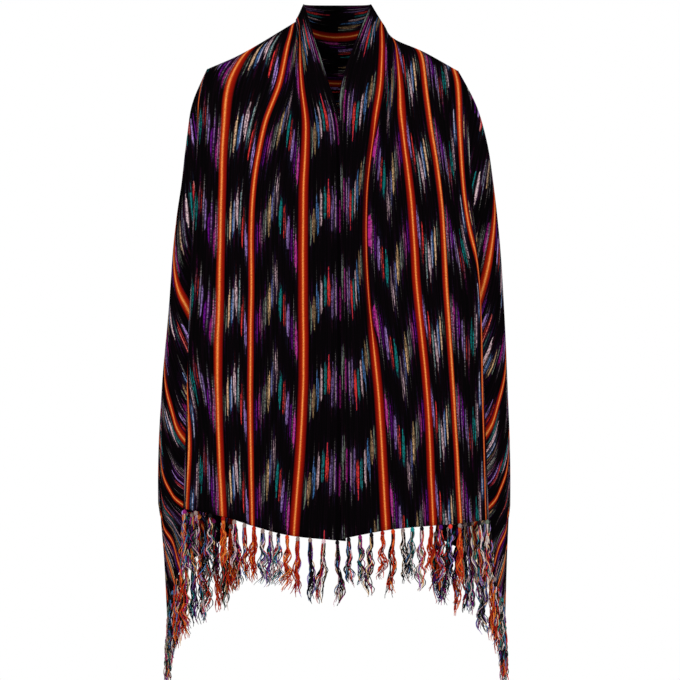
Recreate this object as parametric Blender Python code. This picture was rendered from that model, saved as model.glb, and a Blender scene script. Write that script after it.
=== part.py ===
"""A striped, ikat-dyed rebozo shawl, worn: draped over both shoulders and open in front.

Sizes are in millimetres until the last step, which turns them into metres.
The wearer faces -Y and the origin is the top of the cloth at the nape.
Left and right are the wearer's, so the wearer's right is at -X.

The form is one family of hanging lines per half. A line is named by u:
0 to 1 is the front strip from its inner edge to its outer fold, where the lines
are warps; 1 to 2 is the quarter of the cloth that hangs from the shoulder tip,
where the lines fan out through 90 degrees of the weave; 2 to 3 is the back,
where the lines are wefts. The value v runs down a line, 0 at the shoulder, 1 at the hem.
"""
import math

import bpy
import numpy as np

METRES_PER_MM = 0.001

# The woven rectangle.
WALL = 2.0
SEAM_GAP = 0.4
HEM_GAP = 1.6
POLE_SHIFT = 1.5
TIP_FROM_CENTRE = 260.0
TIP_FROM_EDGE = 250.0
TIP_TO_FRINGED_END = 725.0
TIP_TO_OUTER_EDGE = 520.0
NECK_FROM_CENTRE = 95.0

# The form it hangs on.
FRONT_DEPTH = 140.0
FRONT_DEPTH_AT_SIDE = 112.0
BACK_DEPTH = 125.0
CHEST_FALL = 140.0
CHEST_HALF_WIDTH = 240.0
NECK_RADIUS = 55.0
SIDE_SHIFT_FALL = 260.0
BEND_ALLOWANCE = 25.0
LEAST_BEND = 0.2
FULL_DEPTH = 700.0
MOST_GROWTH = 1.2
LAP_WIDTH = 70.0
FRONT_OPENING = {-1: 8.0, 1: -3.0}

# One row per warp of the front strip: distance from the inner edge, the shoulder point
# over which it falls (out, up), how far out it is at five heights, and its hem (out, up).
FRONT_HEIGHTS = (-130.0, -200.0, -310.0, -450.0, -620.0)
LEAST_HEIGHT_STEP = 12.0
FRONT_COLUMNS = ("warp", "top_out", "top_up", "o130", "o200", "o310", "o450", "o620", "hem_out", "hem_up")
FRONT_LINES = {
    -1: (
        (0.0, 55.0, -2.0, 15.0, -6.0, -11.0, -12.0, -12.0, -12.0, -846.0),
        (70.0, 66.0, -25.0, 59.0, 52.0, 55.0, 55.0, 55.0, 69.0, -838.0),
        (155.0, 82.0, -39.0, 94.0, 117.0, 134.0, 136.0, 137.0, 134.0, -822.0),
        (204.0, 153.0, -81.0, 172.0, 178.0, 181.0, 183.0, 186.0, 179.0, -808.0),
        (250.0, 207.0, -105.0, 212.0, 217.0, 222.0, 227.0, 231.0, 236.0, -797.0),
    ),
    1: (
        (0.0, 52.0, -2.0, 6.0, 2.0, 4.0, 5.0, 5.0, 5.0, -842.0),
        (70.0, 72.0, -34.0, 68.0, 57.0, 45.0, 47.0, 64.0, 75.0, -829.0),
        (155.0, 94.0, -60.0, 98.0, 101.0, 114.0, 123.0, 139.0, 148.0, -822.0),
        (204.0, 136.0, -78.0, 138.0, 146.0, 161.0, 168.0, 179.0, 190.0, -819.0),
        (250.0, 190.0, -108.0, 196.0, 201.0, 207.0, 218.0, 223.0, 229.0, -814.0),
    ),
}

# How far the cloth over the arm stands out from the shoulder tip, by depth below it.
SIDE_COLUMNS = ("depth", "right_out", "left_out")
SIDE_SWELL = (
    (0.0, 0.0, 0.0),
    (54.0, 24.0, 28.0),
    (109.0, 33.0, 44.0),
    (180.0, 41.0, 55.0),
    (263.0, 52.0, 64.0),
    (388.0, 61.0, 72.0),
    (513.0, 71.0, 77.0),
    (600.0, 74.0, 80.0),
    (700.0, 72.0, 78.0),
    (770.0, 66.0, 75.0),
    (880.0, 60.0, 72.0),
)

# The fold at the outer edge of the front strip: the cloth turns in behind the strip
# and out again. Each row has the angle of its line in the weave, its share of the way
# round to the side, and how far it is tucked in and set back at full depth.
FOLD_COLUMNS = ("angle", "reach", "tuck", "behind")
FRONT_FOLD = (
    (0.0, 0.00, 0.0, 0.0),
    (2.5, 0.03, -4.0, 6.0),
    (8.0, 0.08, 35.0, 14.0),
    (14.0, 0.14, 82.0, 22.0),
    (20.0, 0.23, 38.0, 30.0),
    (25.0, 0.38, 4.0, 24.0),
    (29.0, 0.66, 0.0, 8.0),
    (33.0, 1.00, 0.0, 0.0),
)
SIDE_ANGLE = 33.0
CORNER_ANGLE = math.degrees(math.atan2(TIP_TO_OUTER_EDGE, TIP_TO_FRINGED_END))
TUCK_START = 60.0
LAYER_START = 30.0
LAYER_GROWTH = 0.7
FOLD_SETTLE = 120.0

# The flutes behind the arms and down the back.
BACK_SHARE_OF_WEDGE = 0.62
FLUTES = 6
FLUTE_DEPTH = 13.0
FLUTE_START = 60.0
FIRST_FLUTE = 0.11
SECTION_ROUNDNESS_OUT = 0.9
SECTION_ROUNDNESS_BACK = 0.75

# The back's edge climbs from the neck points to the shoulder tips; both ends of the climb
# are rounded, which spreads over the lines beside them.
EDGE_LEAN = 0.9
NECK_ROUND = 70.0
NECK_SPREAD = 100.0
TIP_ROUND = 50.0
TIP_SPREAD = 6.0

# Knotted fringe.
KNOT_ROW = 8.0
TASSEL_PITCH = 17.5
TASSEL_LENGTH = 104.0
TASSEL_RINGS = ((0.1, 2.0, 1.2), (0.5, 3.6, 2.2), (1.0, 1.4, 1.0))
TASSEL_SWAY = 2.4
TASSEL_UNEVENNESS = 0.06
CLEAR_OF_ROOT = 1.0
CLEAR_OF_END = 2.0

COLUMNS_FRONT = 8
COLUMNS_FOLD = 20
COLUMNS_BEHIND_ARM = 22
COLUMNS_NAPE = 5
ROWS = 12
ROW_CROWDING = 0.35
LEAST_COSINE = 0.01
NORMAL_STEP = 0.004


def clear_scene():
    """Remove what a new file holds."""
    for item in list(bpy.data.objects):
        bpy.data.objects.remove(item)


def smooth(knots, values, where):
    """Piecewise cubic through the knots, with the mean slope of the neighbours at each."""
    knots = np.asarray(knots, float)
    values = np.asarray(values, float)
    slopes = np.gradient(values, knots)
    where = np.clip(where, knots[0], knots[-1])
    index = np.clip(np.searchsorted(knots, where, side="right") - 1, 0, len(knots) - 2)
    width = knots[index + 1] - knots[index]
    part = (where - knots[index]) / width
    keep = (1 + 2 * part) * (1 - part) ** 2
    lead = part * (1 - part) ** 2
    gain = part**2 * (3 - 2 * part)
    trail = part**2 * (part - 1)
    start = keep * values[index] + lead * width * slopes[index]
    return start + gain * values[index + 1] + trail * width * slopes[index + 1]


def column(table, names, name):
    return np.array([row[names.index(name)] for row in table])


def front_value(half, name, warp):
    table = FRONT_LINES[half]
    knots = column(table, FRONT_COLUMNS, "warp")
    return smooth(knots, column(table, FRONT_COLUMNS, name), warp)


def fall(depth, length):
    """Share of the full depth reached below the shoulder: level at first, then steep."""
    return np.sqrt(1 - np.exp(-np.maximum(depth, 0) / length))


def front_line(half, warp, drop):
    """Points of the front strip. drop is the share of the way down from shoulder to hem."""
    top = front_value(half, "top_up", warp)
    hem = front_value(half, "hem_up", warp)
    depth = (top - hem) * drop
    up = top - depth
    names = [name for name in FRONT_COLUMNS if name[:1] == "o"]
    outs = [front_value(half, name, warp) for name in names]
    stations = [np.broadcast_to(height, np.shape(warp)) for height in FRONT_HEIGHTS]
    heights = [hem, *stations[::-1], np.maximum(top, stations[0] + LEAST_HEIGHT_STEP)]
    outs = [front_value(half, "hem_out", warp), *outs[::-1], front_value(half, "top_out", warp)]
    out = between(up, np.array(heights), np.array(outs))
    middle = 1 - np.clip(out / CHEST_HALF_WIDTH, 0, MOST_GROWTH) ** 2
    reach = FRONT_DEPTH_AT_SIDE + (FRONT_DEPTH - FRONT_DEPTH_AT_SIDE) * middle
    lap = FRONT_OPENING[half] * np.clip(1 - warp / LAP_WIDTH, 0, 1)
    lap = lap * fall(depth, CHEST_FALL)
    return out, -reach * fall(depth, CHEST_FALL) + lap, up


def between(up, heights, outs):
    """Cubic through one row of stations per height, for arrays of equal shape."""
    slopes = np.gradient(outs, axis=0) / np.gradient(heights, axis=0)
    result = outs[0] + 0 * up
    for low in range(len(heights) - 1):
        width = heights[low + 1] - heights[low]
        part = np.clip((up - heights[low]) / width, 0, 1)
        keep = (1 + 2 * part) * (1 - part) ** 2 * outs[low]
        lead = part * (1 - part) ** 2 * width * slopes[low]
        gain = part**2 * (3 - 2 * part) * outs[low + 1]
        trail = part**2 * (part - 1) * width * slopes[low + 1]
        result = np.where(up >= heights[low], keep + lead + gain + trail, result)
    return result


def grown(depth, start):
    """0 above the depth where a fold starts, 1 at the full depth and a little more below it."""
    return np.clip((depth - start) / (FULL_DEPTH - start), 0, MOST_GROWTH)


def side_swell(half, depth):
    name = "right_out" if half < 0 else "left_out"
    depths = column(SIDE_SWELL, SIDE_COLUMNS, "depth")
    return smooth(depths, column(SIDE_SWELL, SIDE_COLUMNS, name), depth)


def line_length(angle):
    """Length of a line of the weave from the shoulder tip to the edge of the cloth."""
    turn = np.radians(np.clip(angle, 0, 90))
    to_end = TIP_TO_FRINGED_END / np.maximum(np.cos(turn), LEAST_COSINE)
    to_edge = TIP_TO_OUTER_EDGE / np.maximum(np.sin(turn), LEAST_COSINE)
    return np.minimum(to_end, to_edge)


def shoulder_tip(half):
    warp = np.array([TIP_FROM_EDGE])
    return front_value(half, "top_out", warp)[0], front_value(half, "top_up", warp)[0]


def wedge_bend(angle):
    """What a line loses in height by bending over the shoulder: most in front and behind."""
    return BEND_ALLOWANCE * np.clip(np.abs(angle - SIDE_ANGLE) / SIDE_ANGLE, LEAST_BEND, 1)


def fold_value(name, angle):
    knots = column(FRONT_FOLD, FOLD_COLUMNS, "angle")
    return smooth(knots, column(FRONT_FOLD, FOLD_COLUMNS, name), angle)


def fold_line(half, angle, drop):
    """Points from the outer fold of the front strip to the side of the arm."""
    tip_out, tip_up = shoulder_tip(half)
    warp = np.full(np.shape(angle), TIP_FROM_EDGE)
    strip_hem = tip_up - front_value(half, "hem_up", warp)
    free = line_length(angle) - wedge_bend(angle)
    share = np.clip(angle / SIDE_ANGLE, 0, 1)
    length = free + (strip_hem - free) * (1 - share) ** 3
    depth = length * drop
    strip_drop = depth / strip_hem
    strip_out, strip_back, _ = front_line(half, warp, np.minimum(strip_drop, 1))
    settled = 1 - np.exp(-depth / FOLD_SETTLE)
    reach = share + (fold_value("reach", angle) - share) * settled
    swing = np.radians(90 * reach)
    side = tip_out + side_swell(half, depth)
    growth = grown(depth, TUCK_START)
    layer = grown(depth, LAYER_START) ** LAYER_GROWTH
    out = strip_out + (side - strip_out) * np.sin(swing) - growth * fold_value("tuck", angle)
    back = strip_back * np.cos(swing) + layer * fold_value("behind", angle)
    return out, back, tip_up - depth


def back_top(half, centre):
    """Where the back starts: on the shoulder outside the neck, round the neck inside it."""
    shoulder = (centre - NECK_FROM_CENTRE) / (TIP_FROM_CENTRE - NECK_FROM_CENTRE)
    warp = TIP_FROM_EDGE * np.clip(shoulder, 0, 1)
    turn = np.radians(90 * np.clip(1 - centre / NECK_FROM_CENTRE, 0, 1))
    out = front_value(half, "top_out", warp) * np.cos(turn)
    up = front_value(half, "top_up", warp) * np.cos(turn) ** 2
    return warp, out, NECK_RADIUS * np.sin(turn), up


def soft_ramp(value, round_off):
    """0 below zero and the value above it, with the corner rounded."""
    return (value + np.sqrt(value**2 + round_off**2)) / 2


def neck_curve(centre):
    """How much the rounding at the neck points lifts a line of the back."""
    near = soft_ramp(centre - NECK_FROM_CENTRE, NECK_ROUND)
    far = soft_ramp(-centre - NECK_FROM_CENTRE, NECK_ROUND)
    part = np.clip((TIP_FROM_CENTRE - centre) / NECK_SPREAD, 0, 1)
    return (near + far - np.maximum(centre - NECK_FROM_CENTRE, 0)) * part * part * (3 - 2 * part)


def tip_curve(angle, centre):
    """How much the rounding under the shoulder tip lowers a line of the wedge or the back."""
    beside = TIP_FROM_CENTRE - centre + TIP_SPREAD * (90 - angle)
    part = np.clip((angle - SIDE_ANGLE) / (90 - SIDE_ANGLE), 0, 1)
    return soft_ramp(-beside, TIP_ROUND) * part


def back_line(half, share, drop):
    """Points from the side of the arm (share 0) to the middle of the back (share 1)."""
    tip_out, tip_up = shoulder_tip(half)
    wedge = share < BACK_SHARE_OF_WEDGE
    angle = SIDE_ANGLE + (90 - SIDE_ANGLE) * np.clip(share / BACK_SHARE_OF_WEDGE, 0, 1)
    inner = np.clip((1 - share) / (1 - BACK_SHARE_OF_WEDGE), 0, 1)
    centre = TIP_FROM_CENTRE * inner
    warp, top_out, top_back, top_up = back_top(half, centre)
    hanging = TIP_FROM_EDGE + TIP_TO_OUTER_EDGE - warp - BEND_ALLOWANCE
    length = np.where(wedge, line_length(angle) - wedge_bend(angle), hanging)
    length = length + EDGE_LEAN * (tip_curve(angle, centre) - neck_curve(centre))
    depth = length * drop
    turn = np.radians(90 * share)
    dome_turn = np.radians(90 * np.clip(share / BACK_SHARE_OF_WEDGE, 0, 1))
    swell = side_swell(half, depth)
    dome_out = top_out + swell * np.cos(dome_turn)
    dome_back = BACK_DEPTH * np.sin(dome_turn)
    section_out = (tip_out + swell) * np.cos(turn) ** SECTION_ROUNDNESS_OUT
    section_back = BACK_DEPTH * np.sin(turn) ** SECTION_ROUNDNESS_BACK
    growth = grown(depth, FLUTE_START)
    wave = np.cos(2 * np.pi * FLUTES * share) * np.clip(share / FIRST_FLUTE, 0, 1)
    wave = wave * FLUTE_DEPTH * growth
    settled = 1 - np.exp(-depth / SIDE_SHIFT_FALL)
    out = dome_out + (section_out - dome_out) * settled + wave * np.cos(turn)
    back = dome_back + (section_back - dome_back) * settled
    back = top_back + (back - top_back) * fall(depth, CHEST_FALL) + wave * np.sin(turn)
    return out, back, top_up - depth


def drop_of(v):
    """Rows are close together over the shoulder and farther apart below."""
    return v**2 / (ROW_CROWDING + (1 - ROW_CROWDING) * v)


def cloth_point(half, u, v):
    """Points of the cloth's outer face for arrays u and v of one shape."""
    drop = drop_of(v)
    angle = 90 * (u - 1)
    wedge_share = (angle - SIDE_ANGLE) / (90 - SIDE_ANGLE) * BACK_SHARE_OF_WEDGE
    share = np.where(u < 2, wedge_share, BACK_SHARE_OF_WEDGE + (u - 2) * (1 - BACK_SHARE_OF_WEDGE))
    front = front_line(half, TIP_FROM_EDGE * np.clip(u, 0, 1), drop)
    fold = fold_line(half, np.clip(angle, 0, SIDE_ANGLE), drop)
    back = back_line(half, np.clip(share, 0, 1), drop)
    place = [u <= 1, angle <= SIDE_ANGLE]
    out, across, up = (np.select(place, [a, b], c) for a, b, c in zip(front, fold, back))
    return np.stack([half * out, across, up], axis=-1)


def cloth_normal(half, u, v):
    """Unit vectors pointing out of the cloth, from the slopes of cloth_point."""
    low = np.clip(u - NORMAL_STEP, 0, 3)
    high = np.clip(u + NORMAL_STEP, 0, 3)
    deep = np.clip(v, NORMAL_STEP, 1 - NORMAL_STEP)
    along = cloth_point(half, high, deep) - cloth_point(half, low, deep)
    down = cloth_point(half, u, deep + NORMAL_STEP) - cloth_point(half, u, deep - NORMAL_STEP)
    normal = np.cross(down, along) * half
    return normal / np.linalg.norm(normal, axis=-1, keepdims=True)


def nudge(points, normal_axis):
    """Draw the two end rows of one grid axis inwards by half a seam gap."""
    grid = np.moveaxis(points, normal_axis, 0)
    for end, inside in ((0, 4), (-1, -5)):
        step = grid[inside] - grid[end]
        size = np.maximum(np.linalg.norm(step, axis=-1, keepdims=True), 1e-6)
        grid[end] += step / size * SEAM_GAP / 2
    return points


def wall_mesh(points, normals, pole):
    """Corners and faces of a closed wall on a grid; a pole is one corner for all of row 0."""
    rows, columns = points.shape[:2]
    keys = np.arange(rows * columns).reshape(rows, columns)
    if pole:
        keys[0] = keys[0, 0]
    corners = np.concatenate([points.reshape(-1, 3), (points - WALL * normals).reshape(-1, 3)])
    inside = rows * columns
    faces = []
    for i in range(rows - 1):
        for j in range(columns - 1):
            ring = (keys[i, j], keys[i, j + 1], keys[i + 1, j + 1], keys[i + 1, j])
            faces.append(ring)
            faces.append(tuple(key + inside for key in ring[::-1]))
    around = list(keys[:, 0]) + list(keys[-1, 1:]) + list(keys[-2::-1, -1]) + list(keys[0, -2:0:-1])
    for near, far in zip(around, around[1:] + around[:1]):
        faces.append((near, far, far + inside, near + inside))
    return corners, faces


def tidy_faces(corners, faces):
    """Drop repeated corners of faces, then corners that no face uses."""
    kept = []
    for face in faces:
        ring = [key for i, key in enumerate(face) if key != face[i - 1]]
        if len(ring) > 2:
            kept.append(ring)
    used = sorted({key for ring in kept for key in ring})
    place = {key: i for i, key in enumerate(used)}
    return corners[used], [[place[key] for key in ring] for ring in kept]


def add_object(name, corners, faces, material):
    mesh = bpy.data.meshes.new(name)
    mesh.from_pydata((np.asarray(corners) * METRES_PER_MM).tolist(), [], faces)
    mesh.validate()
    for face in mesh.polygons:
        face.use_smooth = True
    item = bpy.data.objects.new(name, mesh)
    mesh.materials.append(material)
    bpy.context.scene.collection.objects.link(item)
    return item


def add_material(name, color, roughness):
    material = bpy.data.materials.new(name)
    material.use_nodes = True
    shader = material.node_tree.nodes["Principled BSDF"]
    shader.inputs["Base Color"].default_value = (*color, 1.0)
    shader.inputs["Roughness"].default_value = roughness
    return material


def add_panel(name, half, lines, pole, material):
    """One stretch of the cloth as a closed wall."""
    levels = np.linspace(0, 1, ROWS + 1)
    u, v = np.meshgrid(lines, levels)
    points = cloth_point(half, u, v)
    normals = cloth_normal(half, u, v)
    if pole:
        normals[0] = normals[0].mean(axis=0)
        normals[0] /= np.linalg.norm(normals[0, 0])
        points[0, :, 0] += half * POLE_SHIFT
    nudge(points, 1)
    if not pole:
        nudge(points, 0)
    corners, faces = tidy_faces(*wall_mesh(points, normals, pole))
    if half > 0:
        faces = [ring[::-1] for ring in faces]
    return add_object(name, corners, faces, material)


def back_columns():
    """Lines of the back from the shoulder tip to the middle, closest together at the tip."""
    shoulder = np.linspace(TIP_FROM_CENTRE, NECK_FROM_CENTRE, COLUMNS_FRONT + 1)
    nape = np.linspace(NECK_FROM_CENTRE, 0, COLUMNS_NAPE + 1)[1:]
    return 3 - np.concatenate([shoulder, nape]) / TIP_FROM_CENTRE


def hem_line(across):
    """u of the hem point that lies so far from the inner edge of the cloth."""
    angle = np.degrees(np.arctan2(across - TIP_FROM_EDGE, TIP_TO_FRINGED_END))
    return np.where(across < TIP_FROM_EDGE, across / TIP_FROM_EDGE, 1 + angle / 90)


def hem_edges(start, stop, lines):
    """Places where a knot row has corners: the sides of tassels and the cloth's own columns."""
    count = int((stop - start) // TASSEL_PITCH)
    first = start + (stop - start - (count - 1) * TASSEL_PITCH) / 2
    root = TASSEL_RINGS[1][1]
    middles = first + TASSEL_PITCH * np.arange(count)
    edges = [(start + SEAM_GAP, False)]
    edges += [(middle - root, True) for middle in middles]
    edges += [(middle + root, False) for middle in middles]
    for place in np.where(lines < 1, lines * TIP_FROM_EDGE, across_of(lines)):
        beside = np.min(np.abs(middles - place)) > root + CLEAR_OF_ROOT
        if beside and start + CLEAR_OF_END < place < stop - CLEAR_OF_END:
            edges.append((place, False))
    edges = sorted(edges)
    return np.array([edge[0] for edge in edges] + [stop - SEAM_GAP]), [edge[1] for edge in edges]


def along_hem(u, lines, values):
    """Straight between the cloth's own columns, as its hem is."""
    return np.stack([np.interp(u, lines, values[:, k]) for k in range(3)], axis=-1)


def across_of(u):
    """How far from the inner edge of the cloth the line u meets the fringed end."""
    angle = np.clip(90 * (u - 1), 0, CORNER_ANGLE)
    return TIP_FROM_EDGE + TIP_TO_FRINGED_END * np.tan(np.radians(angle))


def add_fringe(name, half, start, stop, lines, material):
    """A knot row under the hem with one tassel per pitch, all one closed body."""
    edges, has_tassel = hem_edges(start, stop, lines)
    u = hem_line(edges)
    end = np.ones_like(lines)
    hem = along_hem(u, lines, cloth_point(half, lines, end))
    normal = along_hem(u, lines, cloth_normal(half, lines, end))
    top = hem - np.array([0, 0, HEM_GAP])
    bottom = hem - np.array([0, 0, KNOT_ROW])
    corners = [*top, *bottom, *(top - WALL * normal), *(bottom - WALL * normal)]
    size = len(u)
    faces = []
    for j in range(size - 1):
        front = (j, j + 1, size + j + 1, size + j)
        faces.append(front)
        faces.append(tuple(key + 2 * size for key in front[::-1]))
        faces.append((j + 1, j, j + 2 * size, j + 1 + 2 * size))
        rim = (size + j, size + j + 1, 3 * size + j + 1, 3 * size + j)
        if has_tassel[j]:
            add_tassel(corners, faces, rim, j)
        else:
            faces.append(rim)
    for j, flip in ((0, 1), (size - 1, -1)):
        faces.append((j, j + size, j + 3 * size, j + 2 * size)[::flip])
    if half > 0:
        faces = [ring[::-1] for ring in faces]
    return add_object(name, corners, faces, material)


def add_tassel(corners, faces, rim, number):
    """Draw one tassel down from the four corners of its place on the rim."""
    base = np.array([corners[key] for key in rim])
    centre = base.mean(axis=0)
    across = base[1] - base[0]
    across = across / np.linalg.norm(across)
    through = base[3] - base[0]
    through = through - across * (through @ across)
    through = through / np.linalg.norm(through)
    length = TASSEL_LENGTH * (1 + TASSEL_UNEVENNESS * math.sin(2.3 * number))
    ring = rim
    for share, wide, thick in TASSEL_RINGS:
        sway = TASSEL_SWAY * math.sin(1.7 * number + 5.0 * share) * share
        middle = centre + across * sway - np.array([0, 0, length * share])
        low = []
        for side, depth in ((-1, -1), (1, -1), (1, 1), (-1, 1)):
            low.append(len(corners))
            corners.append(middle + across * side * wide + through * depth * thick)
        for i in range(4):
            k = (i + 1) % 4
            faces.append((ring[i], ring[k], low[k], low[i]))
        ring = low
    faces.append(tuple(ring))


def build():
    clear_scene()
    cloth = add_material("woven_cotton", (0.012, 0.010, 0.014), 0.85)
    fringe = add_material("fringe_yarn", (0.03, 0.012, 0.012), 0.9)
    strip = np.linspace(0, 1, COLUMNS_FRONT + 1)
    corner = 1 + CORNER_ANGLE / 90
    fold = np.linspace(1, corner, COLUMNS_FOLD + 1)
    wedge = np.concatenate([fold, np.linspace(corner, 2, COLUMNS_BEHIND_ARM + 1)[1:]])
    far = TIP_FROM_EDGE + TIP_TO_OUTER_EDGE
    for side, half in (("right", -1), ("left", 1)):
        add_panel(f"{side}_front", half, strip, False, cloth)
        add_panel(f"{side}_side", half, wedge, True, cloth)
        add_panel(f"{side}_back", half, back_columns(), False, cloth)
        add_fringe(f"{side}_front_fringe", half, 0, TIP_FROM_EDGE, strip, fringe)
        add_fringe(f"{side}_side_fringe", half, TIP_FROM_EDGE, far, fold, fringe)


build()
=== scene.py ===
"""Looks of a striped, ikat-dyed rebozo shawl, worn open over both shoulders.

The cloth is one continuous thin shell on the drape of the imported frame, with its UV map
holding the cloth's own measures: u is the distance from its inner edge and v the distance
along the warp from the fringed end of the wearer's right front, both in metres.
Sizes in the drape are in millimetres. The wearer faces -Y, and the origin is between
the shoulders at the top of the collar.
"""

import math

import bmesh
import bpy
import mathutils
import numpy as np
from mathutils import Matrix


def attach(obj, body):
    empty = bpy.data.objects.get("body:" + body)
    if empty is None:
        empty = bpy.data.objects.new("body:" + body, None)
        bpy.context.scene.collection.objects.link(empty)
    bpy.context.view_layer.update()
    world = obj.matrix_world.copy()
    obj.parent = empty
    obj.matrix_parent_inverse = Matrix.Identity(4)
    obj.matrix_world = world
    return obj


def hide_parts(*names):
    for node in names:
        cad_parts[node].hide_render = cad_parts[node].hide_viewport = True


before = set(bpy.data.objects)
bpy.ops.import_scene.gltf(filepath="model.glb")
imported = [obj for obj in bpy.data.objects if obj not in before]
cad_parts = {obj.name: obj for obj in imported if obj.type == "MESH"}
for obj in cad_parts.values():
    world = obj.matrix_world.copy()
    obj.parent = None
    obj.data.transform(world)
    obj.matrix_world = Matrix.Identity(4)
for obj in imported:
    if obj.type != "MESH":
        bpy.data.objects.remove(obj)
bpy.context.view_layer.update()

METRES_PER_MM = 0.001
MM_PER_METRE = 1000
WEAVE_MAP = "weave"

# The woven rectangle: how far the wearer's shoulder tip lies from the middle of its length,
# its inner edge, its fringed end and its outer edge, and the side of the neck from the middle.
TIP_FROM_CENTRE = 260.0
TIP_FROM_EDGE = 250.0
TIP_TO_FRINGED_END = 725.0
TIP_TO_OUTER_EDGE = 520.0
NECK_FROM_CENTRE = 95.0
CLOTH_LENGTH = 2 * (TIP_FROM_CENTRE + TIP_TO_FRINGED_END)
CLOTH_WIDTH = TIP_FROM_EDGE + TIP_TO_OUTER_EDGE
CLOTH_WALL = 1.0

# The form it hangs on. A fall is the depth over which the cloth comes away from the
# shoulder, and folds grow from their start to the full depth and a little beyond.
FRONT_DEPTH = 140.0
FRONT_DEPTH_AT_SIDE = 112.0
BACK_DEPTH = 125.0
CHEST_FALL = 140.0
CHEST_HALF_WIDTH = 240.0
NECK_RADIUS = 55.0
SIDE_SHIFT_FALL = 260.0
BEND_ALLOWANCE = 25.0
LEAST_BEND = 0.2
FULL_DEPTH = 700.0
MOST_GROWTH = 1.2
LAP_WIDTH = 70.0
FRONT_OPENING = {-1: 8.0, 1: -3.0}

# One row per warp of the front strip: distance from the inner edge, the shoulder point
# over which it falls (out, up), how far out it is at five heights, and its hem (out, up).
FRONT_HEIGHTS = (-130.0, -200.0, -310.0, -450.0, -620.0)
LEAST_HEIGHT_STEP = 12.0
FRONT_COLUMNS = (
    "warp", "top_out", "top_up", "o130", "o200", "o310", "o450", "o620", "hem_out", "hem_up"
)
FRONT_LINES = {
    -1: (
        (0.0, 55.0, -2.0, 15.0, -6.0, -11.0, -12.0, -12.0, -12.0, -846.0),
        (70.0, 66.0, -25.0, 59.0, 52.0, 55.0, 55.0, 55.0, 69.0, -838.0),
        (155.0, 82.0, -39.0, 94.0, 117.0, 134.0, 136.0, 137.0, 134.0, -822.0),
        (204.0, 153.0, -81.0, 172.0, 178.0, 181.0, 183.0, 186.0, 179.0, -808.0),
        (250.0, 207.0, -105.0, 212.0, 217.0, 222.0, 227.0, 231.0, 236.0, -797.0),
    ),
    1: (
        (0.0, 52.0, -2.0, 6.0, 2.0, 4.0, 5.0, 5.0, 5.0, -842.0),
        (70.0, 72.0, -34.0, 68.0, 57.0, 45.0, 47.0, 64.0, 75.0, -829.0),
        (155.0, 94.0, -60.0, 98.0, 101.0, 114.0, 123.0, 139.0, 148.0, -822.0),
        (204.0, 136.0, -78.0, 138.0, 146.0, 161.0, 168.0, 179.0, 190.0, -819.0),
        (250.0, 190.0, -108.0, 196.0, 201.0, 207.0, 218.0, 223.0, 229.0, -814.0),
    ),
}

# How far the cloth over the arm stands out from the shoulder tip, by depth below it.
SIDE_COLUMNS = ("depth", "right_out", "left_out")
SIDE_SWELL = (
    (0.0, 0.0, 0.0),
    (54.0, 24.0, 28.0),
    (109.0, 33.0, 44.0),
    (180.0, 41.0, 55.0),
    (263.0, 52.0, 64.0),
    (388.0, 61.0, 72.0),
    (513.0, 71.0, 77.0),
    (600.0, 74.0, 80.0),
    (700.0, 72.0, 78.0),
    (770.0, 66.0, 75.0),
    (880.0, 60.0, 72.0),
)

# The fold at the outer edge of the front strip: the cloth turns in behind the strip
# and out again. Each row has the angle of its line in the weave, its share of the way
# round to the side, and how far it is tucked in and set back at full depth.
FOLD_COLUMNS = ("angle", "reach", "tuck", "behind")
FRONT_FOLD = (
    (0.0, 0.00, 0.0, 0.0),
    (2.5, 0.03, -4.0, 6.0),
    (8.0, 0.08, 35.0, 14.0),
    (14.0, 0.14, 82.0, 22.0),
    (20.0, 0.23, 38.0, 30.0),
    (25.0, 0.38, 4.0, 24.0),
    (29.0, 0.66, 0.0, 8.0),
    (33.0, 1.00, 0.0, 0.0),
)
SIDE_ANGLE = 33.0
TUCK_START = 60.0
LAYER_START = 30.0
LAYER_GROWTH = 0.7
FOLD_SETTLE = 120.0

# The flutes behind the arms and down the back. A share runs from the side of the arm to
# the middle of the back.
BACK_SHARE_OF_WEDGE = 0.62
FLUTES = 6
FLUTE_DEPTH = 16.0
FLUTE_START = 60.0
FIRST_FLUTE = 0.11
SECTION_ROUNDNESS_OUT = 0.9
SECTION_ROUNDNESS_BACK = 0.75

# The back's edge climbs from the neck points to the shoulder tips; both ends of the climb
# are rounded, which spreads over the lines beside them.
EDGE_LEAN = 0.9
NECK_ROUND = 70.0
NECK_SPREAD = 100.0
TIP_ROUND = 50.0
TIP_SPREAD = 6.0

# How even the rows down a line are, the least sine or cosine that a length is divided by,
# and the step in u and v over which slopes are taken.
ROW_CROWDING = 0.35
LEAST_COSINE = 0.01
NORMAL_STEP = 0.004


def cubic(part, width, start, slope, stop, last_slope):
    """Cubic between two values with a slope at each, at a share of the width between them."""
    keep = (1 + 2 * part) * (1 - part) ** 2
    lead = part * (1 - part) ** 2
    gain = part**2 * (3 - 2 * part)
    trail = part**2 * (part - 1)
    return keep * start + lead * width * slope + gain * stop + trail * width * last_slope


def smooth(knots, values, where):
    """Piecewise cubic through the knots, with the mean slope of the neighbours at each."""
    knots = np.asarray(knots, float)
    values = np.asarray(values, float)
    slopes = np.gradient(values, knots)
    where = np.clip(where, knots[0], knots[-1])
    index = np.clip(np.searchsorted(knots, where, side="right") - 1, 0, len(knots) - 2)
    width = knots[index + 1] - knots[index]
    part = (where - knots[index]) / width
    after = index + 1
    return cubic(part, width, values[index], slopes[index], values[after], slopes[after])


def ease(value):
    """0 to 1 with a level start and end."""
    part = np.clip(value, 0, 1)
    return part * part * (3 - 2 * part)


def from_table(table, names, name, where):
    """One column of a table, read smoothly at places along its first column."""
    knots = [row[0] for row in table]
    return smooth(knots, [row[names.index(name)] for row in table], where)


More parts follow.
